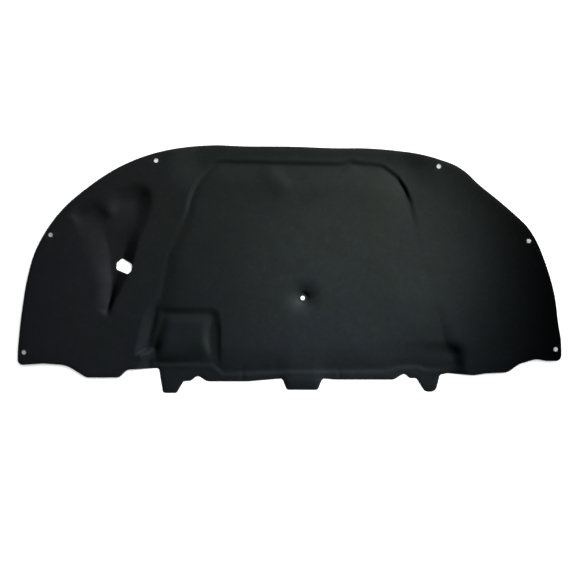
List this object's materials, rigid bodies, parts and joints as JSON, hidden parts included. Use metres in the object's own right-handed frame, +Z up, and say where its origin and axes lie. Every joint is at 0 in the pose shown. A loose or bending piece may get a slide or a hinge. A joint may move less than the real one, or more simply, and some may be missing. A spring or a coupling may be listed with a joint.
{
  "type": "hood insulation pad",
  "caption": "Moulded black felt pad that lines the underside of a car's hood, with a pressed panel and pockets, clip holes along its edge and a cable access hole.",
  "frame": {"origin": "middle of the pad's box, on the surface it lies on, with the engine side up", "axes": "+X across the car to the right in the picture, +Y towards the curved front edge, +Z up out of the engine side"},
  "size_m": [1.192, 0.5462, 0.0313],
  "materials": {
    "black_felt": "matt needled non-woven felt with a faint sheen"
  },
  "bodies": {
    "root": {"insulation_pad": "black_felt"}
  },
  "joints": []
}
